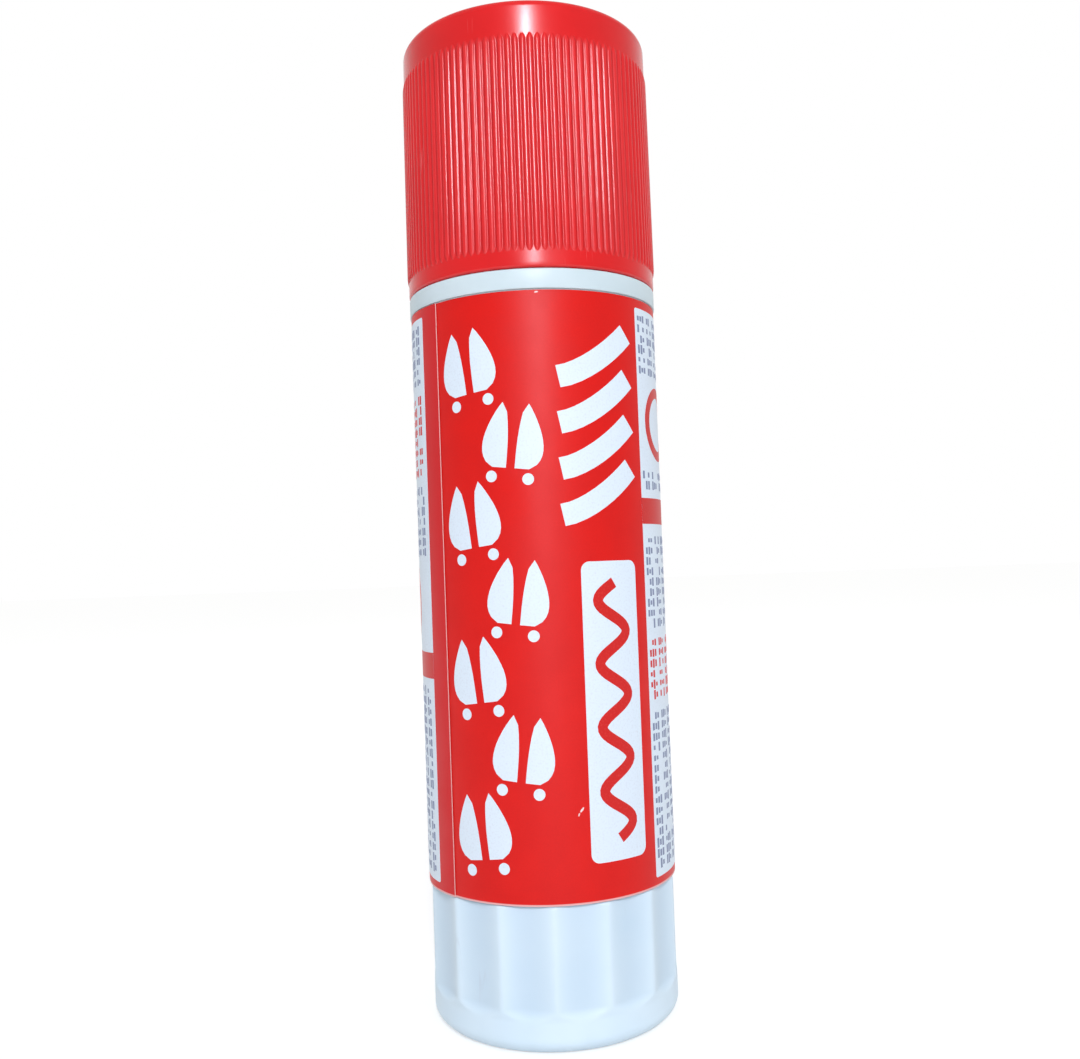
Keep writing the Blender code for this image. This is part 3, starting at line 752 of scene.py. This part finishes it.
artStyle = Settings(  # mm along the film from the front, and up from the floor
    panelMargin=1.0, panelCorner=0.3,
    panels={"right": (52.5, 166.0), "left": (190.0, 301.5)},  # degrees round from the front
    trailColumn=-5.3, trailSwing=2.7, trailLow=24.6, trailStep=8.6, trailCount=7,
    hoofLength=7.6, hoofWidth=7.0, hoofLean=7,
    swipeFoot=(2.6, 58.6), swipeReach=(9.0, 5.2), swipeBend=1.5, swipePoints=9, swipeStep=5.1,
    swipeStroke=2.5, swipeCount=4,
    boxSides=(4.4, 11.8), boxHeights=(20.4, 53.4), boxCorner=1.0,
    waveMargin=2.4, waveLength=7.0, waveSwing=1.8, waveStroke=1.25, wavePoints=90,
    headings={"right": 57.5, "left": 40.5}, headingHeight=3.0,
    discs=(("right", 0.20, 69.4), ("left", 0.70, 49.4)), discRadius=4.4, discStroke=1.2,
)
panels = {}  # the panels' sides in mm along the film
for panelName, sides in artStyle.panels.items():
    panels[panelName] = [math.radians(angle) * filmRadius / mm for angle in sides]


def buildPrints():
    a = artStyle
    low, high = labelLow / mm + a.panelMargin, labelHigh / mm - a.panelMargin
    white = [roundedBox(left, low, right, high, a.panelCorner) for left, right in panels.values()]
    for number in range(a.trailCount):
        side = 1 if number % 2 else -1
        white += hoofPrint(a.trailColumn + side * a.trailSwing, a.trailLow + number * a.trailStep,
                           a.hoofLength, a.hoofWidth, -a.hoofLean * side)
    for number in range(a.swipeCount):
        foot = Vector(a.swipeFoot) + Vector((0.0, a.swipeStep * number))
        bow = [foot + Vector((share * a.swipeReach[0], share ** a.swipeBend * a.swipeReach[1]))
               for share in spread(0.0, 1.0, a.swipePoints)]
        white.append(stroke(bow, a.swipeStroke))
    left, right = a.boxSides
    boxLow, boxHigh = a.boxHeights
    white.append(roundedBox(left, boxLow, right, boxHigh, a.boxCorner))
    heights = spread(boxLow + a.waveMargin, boxHigh - a.waveMargin, a.wavePoints)
    swings = [math.sin(math.tau * (height - heights[0]) / a.waveLength) for height in heights]
    wave = [((left + right) / 2 + a.waveSwing * swing, height) for swing, height in zip(swings, heights)]
    red = [stroke(wave, a.waveStroke)]
    for panel, height in a.headings.items():
        left, right = panels[panel]
        over = height + a.headingHeight
        red.append([(left, height), (right, height), (right, over), (left, over)])
    for panel, share, height in a.discs:
        left, right = panels[panel]
        x = left + (right - left) * share
        red += [circle(x, height, a.discRadius), circle(x, height, a.discRadius - a.discStroke)]
    printShapes("label_white_print", white, 0.0, whiteInk)
    printShapes("label_red_print", red, labelStyle.ink, redInk)


buildPrints()


# Small print: rows of short dashes that spell nothing

dashStyle = Settings(  # steps, stroke and margin in mm, the lengths as shares of a step
    lineStep=0.60, rowLines=4, dashStep=1.20, stroke=0.40, shortest=0.35, longest=0.92,
    filled=0.82, margin=0.7,
    blocks=[  # panel, its lower and upper height in mm, ink
        ("right", 18.0, 36.2, "grey"), ("right", 37.2, 44.6, "red"), ("right", 45.4, 56.6, "grey"),
        ("right", 61.4, 64.0, "grey"), ("right", 74.8, 82.2, "grey"),
        ("left", 18.0, 39.8, "grey"), ("left", 54.6, 63.2, "grey"), ("left", 64.0, 73.8, "red"),
        ("left", 74.6, 82.2, "grey"),
    ],
)


def dashTree(sizes):
    tree, add, given = newTree("printedDashes", sizes)
    gapsWide = add("SUBTRACT", [given["Lines"], 1.0])
    gapsTall = add("SUBTRACT", [given["Dashes"], 1.0])
    wide = add("MULTIPLY", [gapsWide, given["Line Step"]])
    tall = add("MULTIPLY", [gapsTall, given["Dash Step"]])
    grid = add("GeometryNodeMeshGrid", [wide, tall, given["Lines"], given["Dashes"]])
    place = add("SeparateXYZ", [add("GeometryNodeInputPosition")]).outputs
    halfWide = add("MULTIPLY_ADD", [wide, 0.5, given["Left"]])
    halfTall = add("MULTIPLY_ADD", [tall, 0.5, given["Base"]])
    across = add("ADD", [place["X"], halfWide])
    up = add("ADD", [place["Y"], halfTall])
    spot = add("CombineXYZ", [across, given["Depth"], up])
    spots = add("GeometryNodeSetPosition", {"Geometry": grid, "Position": spot})
    size = add("CombineXYZ", [given["Stroke"], given["Ink"], given["Dash Step"]])
    dash = add("GeometryNodeMeshCube", {"Size": size})
    length = add("FunctionNodeRandomValue", {
        "Min": given["Shortest"], "Max": given["Longest"], "Seed": given["Seed"]}, data_type="FLOAT")
    scale = add("CombineXYZ", [1.0, 1.0, length])
    line = add("DIVIDE", [add("GeometryNodeInputIndex"), given["Dashes"]])
    lineNumber = add("FLOOR", [line])
    inRow = add("MODULO", [lineNumber, given["Row Lines"]])
    lastLine = add("SUBTRACT", [given["Row Lines"], 1.5])  # the last stays blank
    printedLine = add("FunctionNodeCompare", [inRow, lastLine], "LESS_THAN")
    inWord = add("FunctionNodeRandomValue", {
        "Probability": given["Filled"], "Seed": given["Seed"]}, data_type="BOOLEAN")
    printed = add("FunctionNodeBooleanMath", [printedLine, inWord], "AND")
    endTree(add, given, add("GeometryNodeInstanceOnPoints", {
        "Points": spots, "Selection": printed, "Instance": dash, "Scale": scale}))
    return tree


def buildDashes():
    d, s = dashStyle, labelStyle
    tree = None  # made at the first block, and serves them all
    for ink, material in (("grey", greyInk), ("red", redInk)):
        whole = bmesh.new()
        for seed, (panel, low, high, blockInk) in enumerate(d.blocks):
            if blockInk != ink:
                continue
            left, right = panels[panel]
            sizes = {
                "Lines": int((right - left - 2 * d.margin) / d.lineStep) + 1,
                "Dashes": int((high - low) / d.dashStep), "Row Lines": d.rowLines,
                "Line Step": d.lineStep * mm, "Dash Step": d.dashStep * mm, "Stroke": d.stroke * mm,
                "Shortest": d.shortest, "Longest": d.longest, "Ink": s.ink + s.sink,
                "Left": (left + d.margin) * mm, "Base": (low + d.dashStep / 2) * mm,
                "Depth": (s.sink - s.ink) / 2 - s.ink, "Filled": d.filled, "Seed": seed}
            tree = tree or dashTree(sizes)
            block = runTree(newObject("dashes", bpy.data.meshes.new("dashes")), tree, sizes, material)
            whole.from_mesh(block.data)
            bpy.data.objects.remove(block)
        name = "label_small_print_" + ink
        piece = newObject(name, meshFrom(whole, name))
        runTree(piece, windNodes, windSizes, material)
        seat(piece, "barrel", "label_film")


buildDashes()


# Twist knob: a turned grip whose flutes a node tree hollows, with its snap collar and screw socket

knobStyle = Settings(
    flutes=15, columnsPerFlute=24, fluteDepth=0.66 * mm, swell=0.20 * mm, landShare=0.03,
    softness=0.15, scoopStart=3.5 * mm, scoopLength=1.4 * mm, rowGap=0.3 * mm,
    topGap=0.06 * mm, topSlack=0.01 * mm, step=0.30 * mm, topRound=0.35 * mm, edge=0.3 * mm,
    baseRound=1.7 * mm, baseGap=0.2 * mm, footRadius=10.5 * mm, footDepth=0.5 * mm,
    collar=13.2 * mm, wallGap=0.6 * mm, collarBore=11.9 * mm,
    snapMiddle=18.8 * mm, snapHalf=0.6 * mm, snapBead=0.5 * mm,
    boss=5.0 * mm, bossHeight=12.0 * mm, floor=1.8 * mm, socket=3.3 * mm, socketBase=4.0 * mm,
    webs=6, webThickness=1.2 * mm, webHeight=8.0 * mm, webRoot=0.5 * mm,
    gateRadius=1.2 * mm, gateTop=0.9, gateHeight=0.2 * mm,
)


def fluteTree(sizes):
    tree, add, given = newTree("hollowFlutes", sizes)
    z, outward, angle = roundAxis(add)
    off = offRidge(add, angle, given["Flutes"])
    side = add("MapRange", [off, given["Land Share"], 0.5, 1.0, 0.0], clamp=False)
    bowl = add("POWER", [side, 2.0])
    above = add("SUBTRACT", [z, given["Scoop Start"]])
    run = add("MapRange", [above, 0.0, given["Scoop Length"]], **eased)
    deep = add("SUBTRACT", [run, bowl])
    square = add("MULTIPLY", [deep, deep])
    soft = add("MULTIPLY_ADD", [given["Softness"], given["Softness"], square])
    root = add("SQRT", [soft])
    doubled = add("ADD", [deep, root])
    hollow = add("MULTIPLY", [doubled, 0.5])  # rounds off where a flute begins
    inward = add("MULTIPLY", [hollow, given["Depth"]])
    swell = add("MULTIPLY", [run, given["Swell"]])
    height = add("SUBTRACT", [swell, inward])
    ridge = add("SUBTRACT", [1.0, hollow])
    onWall = beyond(add, outward, given["Wall Radius"])
    underTop = add("FunctionNodeCompare", [z, given["Top"]], "LESS_THAN")
    cut = add("FunctionNodeBooleanMath", [onWall, underTop], "AND")
    # flute and ridge shares go to the material as masks for painted shade in the flutes and a painted
    # highlight on the ridges
    raiseWall(add, given, outward, height, cut, hollow=hollow, crest=ridge)
    return tree


def buildKnob():
    s = knobStyle
    radius = barrelRadius - s.step
    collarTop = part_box("twist_knob")[1].z
    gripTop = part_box("barrel")[0].z - s.topGap
    snap, half, bead, collar = s.snapMiddle, s.snapHalf, s.snapBead, s.collar
    edge, top, boss, foot = s.edge, s.topRound, s.boss, s.footDepth
    profile = [(0.0, s.socketBase), (s.socket, s.socketBase, 6), (s.socket, s.bossHeight, 6)]
    profile += arcPoints(boss - edge, s.bossHeight - edge, edge, 90, 0, 3)
    profile += [(boss, s.floor), (s.collarBore, s.floor), (s.collarBore, collarTop)]
    profile += arcPoints(collar - edge, collarTop - edge, edge, 90, 0, 4)
    profile += [(collar, snap + half + bead), (collar + bead, snap + half), (collar + bead, snap - half),
                (collar, snap - half - bead), (collar, gripTop)]
    profile += arcPoints(radius - top, gripTop - top, top, 90, 0, 5)
    scoopLow, scoopTop, gap = s.scoopStart, s.scoopStart + s.scoopLength, s.rowGap
    heights = spread(gripTop - top, scoopTop + gap, 8)[1:]
    heights += spread(scoopTop + gap / 2, scoopLow - gap, 13)
    heights += spread(scoopLow - 2 * gap, s.baseRound + s.baseGap, 4)
    profile += [(radius, height) for height in heights]
    profile += arcPoints(radius - s.baseRound, s.baseRound, s.baseRound, 0, -90, 10)
    profile += [(s.footRadius, 0.0), (s.footRadius - foot, foot), (s.gateRadius, foot),
                (s.gateRadius * s.gateTop, foot - s.gateHeight), (0.0, foot - s.gateHeight)]
    knob = turned("knob_grip", profile, s.flutes * s.columnsPerFlute)
    workBars(knob, "UNION", s.webs, 0, boss - s.webRoot, s.collarBore + s.webRoot,
             s.webThickness, s.floor - s.webRoot, s.webHeight)
    sizes = {
        "Flutes": s.flutes, "Depth": s.fluteDepth, "Swell": s.swell, "Land Share": s.landShare,
        "Softness": s.softness, "Scoop Start": scoopLow, "Scoop Length": s.scoopLength,
        "Top": gripTop + s.topSlack, "Wall Radius": collar + s.wallGap}
    runTree(knob, fluteTree(sizes), sizes, knobPlastic)
    seat(knob, "knob", "white_plastic", "twist_knob")


buildKnob()


# Lead screw: a turned spindle whose left-hand thread a node tree raises

screwStyle = Settings(
    columns=64, root=2.5 * mm, depth=1.1 * mm, lead=5.5 * mm, base=2.4 * mm, crest=1.2 * mm,
    threadLow=22.2 * mm, threadHigh=81.2 * mm, threadMiddle=23.4 * mm, threadTurn=101.25,
    runOut=1.2 * mm, tip=1.0 * mm, foot=3.2 * mm, footChamfer=0.3 * mm, flange=5.0 * mm,
    flangeBase=12.3 * mm, flangeTop=13.8 * mm, flangeRound=0.2 * mm, row=0.2 * mm,
)


def threadTree(sizes):
    tree, add, given = newTree("leftHandThread", sizes)
    z, outward, angle = roundAxis(add)
    fromStart = add("SUBTRACT", [angle, given["Start Angle"]])
    turns = add("DIVIDE", [fromStart, math.tau])
    rise = add("SUBTRACT", [z, given["Middle"]])
    steps = add("DIVIDE", [rise, given["Lead"]])
    phase = add("ADD", [steps, turns])
    off = add("PINGPONG", [phase, 0.5])
    away = add("MULTIPLY", [off, given["Lead"]])
    halfBase = add("MULTIPLY", [given["Base"], 0.5])
    halfCrest = add("MULTIPLY", [given["Crest"], 0.5])
    ridge = add("MapRange", [away, halfBase, halfCrest])
    fade = add("MapRange", [fromEnds(add, given, z), 0.0, given["Run Out"]], **eased)
    full = add("MULTIPLY", [ridge, fade])
    height = add("MULTIPLY", [full, given["Depth"]])
    raiseWall(add, given, outward, height)
    return tree


def buildScrew():
    s = screwStyle
    low, high = (corner.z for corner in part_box("lead_screw"))
    root, foot, flange = s.root, s.foot, s.flange
    chamfer, edge = s.footChamfer, s.flangeRound
    rows = round((s.threadHigh - s.threadLow) / s.row) + 1
    profile = [(0.0, high), (root - s.tip, high), (root, high - s.tip)]
    profile += [(root, height) for height in spread(s.threadHigh, s.threadLow, rows)]
    profile += [(root, s.flangeTop)] + arcPoints(flange - edge, s.flangeTop - edge, edge, 90, 0, 3)
    profile += [(flange, s.flangeBase), (foot, s.flangeBase, 6), (foot, low + chamfer, 6),
                (foot - chamfer, low, 6), (0.0, low)]
    screw = turned("screw_spindle", profile, s.columns)
    sizes = {
        "Lead": s.lead, "Depth": s.depth, "Base": s.base, "Crest": s.crest, "Low": s.threadLow,
        "High": s.threadHigh, "Middle": s.threadMiddle, "Start Angle": math.radians(s.threadTurn),
        "Run Out": s.runOut}
    runTree(screw, threadTree(sizes), sizes, whitePlastic)
    smooth(screw.data, sheetSharp)  # again, now that the thread stands up
    seat(screw, "knob", "white_plastic", "lead_screw")


buildScrew()


# Wax stick: a turned casting with a slightly uneven skin and a shrunk hollow in its tip

waxStyle = Settings(
    columns=128, rows=60, tipRound=3.0 * mm, tipDish=0.35 * mm,
    dishRows=(0.15, 0.3, 0.45, 0.6, 0.75, 0.9), root=10.717 * mm, rootChamfer=0.3 * mm,
    step=38.2 * mm, stepChamfer=0.2 * mm, bore=4.0 * mm, boreTop=84.4 * mm, boreChamfer=1 * mm,
    skin=0.07 * mm, skinSize=4 * mm, seed=3.0,
)


def waxTree(sizes):
    tree, add, given = newTree("castSkin", sizes)
    density = add("DIVIDE", [1.0, given["Skin Size"]])
    lumps = add("TexNoise", {
        "Vector": add("GeometryNodeInputPosition"), "W": given["Seed"], "Scale": density, "Detail": 3.0},
        noise_dimensions="4D")
    sunk = add("MULTIPLY", [lumps, given["Skin"]])
    inward = add("MULTIPLY", [sunk, -1.0])
    offset = add("VectorMath", [add("GeometryNodeInputNormal"), inward], "SCALE")
    endTree(add, given, add("GeometryNodeSetPosition", {"Geometry": given["Geometry"], "Offset": offset}))
    return tree


def buildWax():
    s = waxStyle
    low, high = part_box("wax_stick")
    radius, tip, base = high.x, high.z, low.z
    root, step, bore, boreTop = s.root, s.step, s.bore, s.boreTop
    chamfer, flat = s.stepChamfer, radius - s.tipRound
    profile = [(0.0, tip - s.tipDish)]
    for share in s.dishRows:
        profile.append((flat * share, tip - s.tipDish * (1 - share * share) ** 2))
    profile += arcPoints(flat, tip - s.tipRound, s.tipRound, 90, 0, 12)
    profile += [(radius, height) for height in spread(tip - s.tipRound, step + chamfer, s.rows)[1:]]
    profile += [(radius - chamfer, step), (root, step), (root, base + s.rootChamfer),
                (root - s.rootChamfer, base), (bore, base), (bore, boreTop - s.boreChamfer),
                (bore - s.boreChamfer, boreTop), (0.0, boreTop)]
    wax = turned("wax_crayon", profile, s.columns)
    sizes = {"Skin": s.skin, "Skin Size": s.skinSize, "Seed": s.seed}
    runTree(wax, waxTree(sizes), sizes, castWax())
    seat(wax, "stick", "wax", "wax_stick")


buildWax()

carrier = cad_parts["carrier"]  # its solid is right as it is and takes a finish only
carrier.data.materials.clear()
carrier.data.materials.append(naturalPlastic)
print("carrier finished")


# Studio: pale floor, white surround and soft lamps

studio = Settings(
    floorSize=6.0, floorTint="#D6D6D5", toothSize=0.8 * mm, toothHeight=0.01 * mm, tooth=0.2,
    nearLift=0.50, farLift=0.67, near=0.04, far=0.24, surround=0.47, backdrop=(0.3, 0.95),
    lamps=[  # name, place in metres, size in metres, power in watts, tint, shown in gloss
        ("keyLamp", (0.030, -0.46, 0.315), (0.028, 0.14), 1.26, "#F4F6FF", True),
        ("stripLamp", (0.032, -0.60, 0.20), (0.11, 0.56), 0.86, "#EAF0FF", True),
        ("wideLamp", (0.16, -0.64, 0.09), (0.44, 0.60), 0.40, "#EEF6FF", True),
        ("leftFill", (-0.55, 0.30, 0.20), (0.40, 0.60), 0.75, "#EEF4FF", False),
        ("rightFill", (0.55, 0.30, 0.20), (0.40, 0.60), 0.75, "#EEF4FF", False),
    ],
    aim=(0.0, 0.0, 0.06),
)
plainWhite = (1.0, 1.0, 1.0, 1.0)


def seenByEye(add, mirrored=1.0):
    # 1 for rays that show the background: from the camera, reflected or let through
    paths = add("LightPath").outputs
    reflected = add("MULTIPLY", [paths["Is Glossy Ray"], mirrored])
    shown = add("MAXIMUM", [paths["Is Camera Ray"], reflected])
    return add("MAXIMUM", [shown, paths["Is Transmission Ray"]])


def buildFloor():
    s = studio
    material, add = newMaterial("matte_white_paper")  # smooth matte card with a faint tooth
    place = add("TexCoord").outputs["Object"]
    tooth = noise(add, place, s.toothSize, 2)
    bump = add("Bump", {"Height": tooth, "Distance": s.toothHeight, "Strength": s.tooth})
    away = add("VectorMath", [place], "LENGTH")
    # makes up for the lamps' fall-off, so the sheet stays white
    glow = add("MapRange", [away, s.near, s.far, s.nearLift, s.farLift], **eased)
    lift = add("MULTIPLY", [seenByEye(add), glow])
    coat(material, {"Base Color": linear(s.floorTint), "Roughness": 0.9, "Specular IOR Level": 0.0,
                    "Normal": bump, "Emission Color": plainWhite, "Emission Strength": lift})
    sheet = bmesh.new()
    bmesh.ops.create_grid(sheet, x_segments=8, y_segments=8, size=s.floorSize / 2)
    mesh = meshFrom(sheet, "floor")
    mesh.materials.append(material)
    newObject("floor", mesh)


def buildLight():
    world = bpy.data.worlds.new("studio")
    world.use_nodes = True
    sky = world.node_tree
    add = partial(addNode, sky)
    toward = add("SeparateXYZ", [add("TexCoord").outputs["Generated"]]).outputs["Y"]
    behind = add("MapRange", [toward, *studio.backdrop], **eased)  # the backdrop is behind the object only
    strength = add("MapRange", [seenByEye(add, behind), 0.0, 1.0, studio.surround, 1.0])
    setInputs(sky, sky.nodes["Background"], {"Color": plainWhite, "Strength": strength})
    scene.world = world
    for name, where, size, power, tint, glossy in studio.lamps:
        lamp = bpy.data.lights.new(name, "AREA")
        lamp.shape = "RECTANGLE"
        lamp.size, lamp.size_y = size
        lamp.energy = power
        lamp.color = linear(tint)[:3]
        holder = newObject(name, lamp)
        aim = Vector(studio.aim) - Vector(where)
        holder.matrix_world = Matrix.LocRotScale(Vector(where), aim.to_track_quat("-Z", "Y"), None)
        holder.visible_camera = False
        holder.visible_glossy = glossy
    scene.view_settings.view_transform = "Standard"


buildFloor()
buildLight()
print("studio lit")
